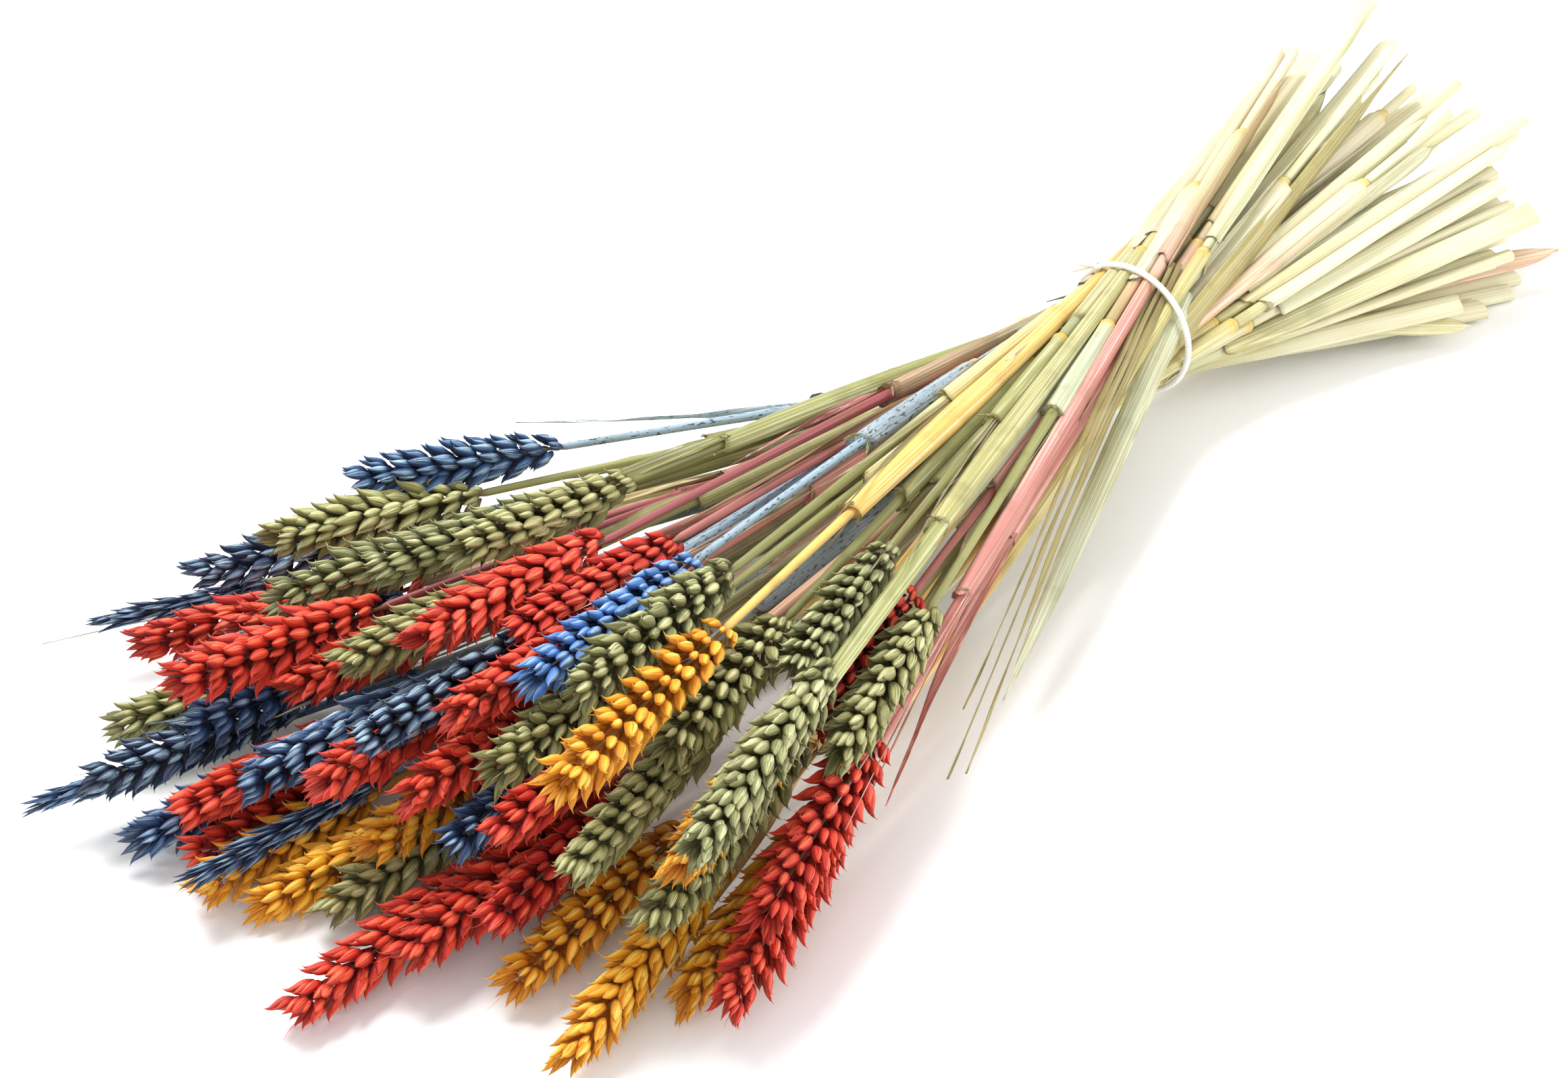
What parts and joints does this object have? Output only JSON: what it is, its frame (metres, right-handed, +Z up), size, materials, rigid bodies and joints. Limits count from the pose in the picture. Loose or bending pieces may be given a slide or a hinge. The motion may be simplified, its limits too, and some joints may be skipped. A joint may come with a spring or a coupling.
{
  "type": "tied bunch of dyed wheat ears",
  "caption": "Bunch of dried wheat stalks with dyed ears in blue, olive, coral and amber, spiral-tied with one white elastic and lying on its side, for decoration.",
  "frame": {"origin": "middle of the bounding box's bottom face, on the surface the bunch lies on", "axes": "+X along the bunch from the ears to the cut ends, +Y across it, +Z up"},
  "size_m": [0.5888, 0.2466, 0.0799],
  "materials": {
    "blue_wheat": "matte",
    "olive_wheat": "matte",
    "coral_wheat": "matte",
    "amber_wheat": "matte",
    "leaf": "matte",
    "elastic": "matte"
  },
  "bodies": {
    "root": {"blue_stalk_01": "blue_wheat", "blue_stalk_02": "blue_wheat", "blue_stalk_03": "blue_wheat", "blue_stalk_04": "blue_wheat", "blue_stalk_05": "blue_wheat", "blue_stalk_06": "blue_wheat", "blue_stalk_07": "blue_wheat", "blue_stalk_08": "blue_wheat", "blue_stalk_09": "blue_wheat", "blue_stalk_10": "blue_wheat", "blue_stalk_11": "blue_wheat", "blue_stalk_12": "blue_wheat", "blue_stalk_13": "blue_wheat", "olive_stalk_01": "olive_wheat", "olive_stalk_02": "olive_wheat", "olive_stalk_03": "olive_wheat", "olive_stalk_04": "olive_wheat", "olive_stalk_05": "olive_wheat", "olive_stalk_06": "olive_wheat", "olive_stalk_07": "olive_wheat", "olive_stalk_08": "olive_wheat", "olive_stalk_09": "olive_wheat", "olive_stalk_10": "olive_wheat", "olive_stalk_11": "olive_wheat", "olive_stalk_12": "olive_wheat", "olive_stalk_13": "olive_wheat", "olive_stalk_14": "olive_wheat", "olive_stalk_15": "olive_wheat", "coral_stalk_01": "coral_wheat", "coral_stalk_02": "coral_wheat", "coral_stalk_03": "coral_wheat", "coral_stalk_04": "coral_wheat", "coral_stalk_05": "coral_wheat", "coral_stalk_06": "coral_wheat", "coral_stalk_07": "coral_wheat", "coral_stalk_08": "coral_wheat", "coral_stalk_09": "coral_wheat", "coral_stalk_10": "coral_wheat", "coral_stalk_11": "coral_wheat", "coral_stalk_12": "coral_wheat", "coral_stalk_13": "coral_wheat", "coral_stalk_14": "coral_wheat", "coral_stalk_15": "coral_wheat", "coral_stalk_16": "coral_wheat", "coral_stalk_17": "coral_wheat", "coral_stalk_18": "coral_wheat", "amber_stalk_01": "amber_wheat", "amber_stalk_02": "amber_wheat", "amber_stalk_03": "amber_wheat", "amber_stalk_04": "amber_wheat", "amber_stalk_05": "amber_wheat", "amber_stalk_06": "amber_wheat", "amber_stalk_07": "amber_wheat", "amber_stalk_08": "amber_wheat", "leaf_blade_1": "leaf", "leaf_blade_2": "leaf", "leaf_blade_3": "leaf", "leaf_blade_4": "leaf", "leaf_blade_5": "leaf", "elastic_tie": "elastic"}
  },
  "joints": []
}
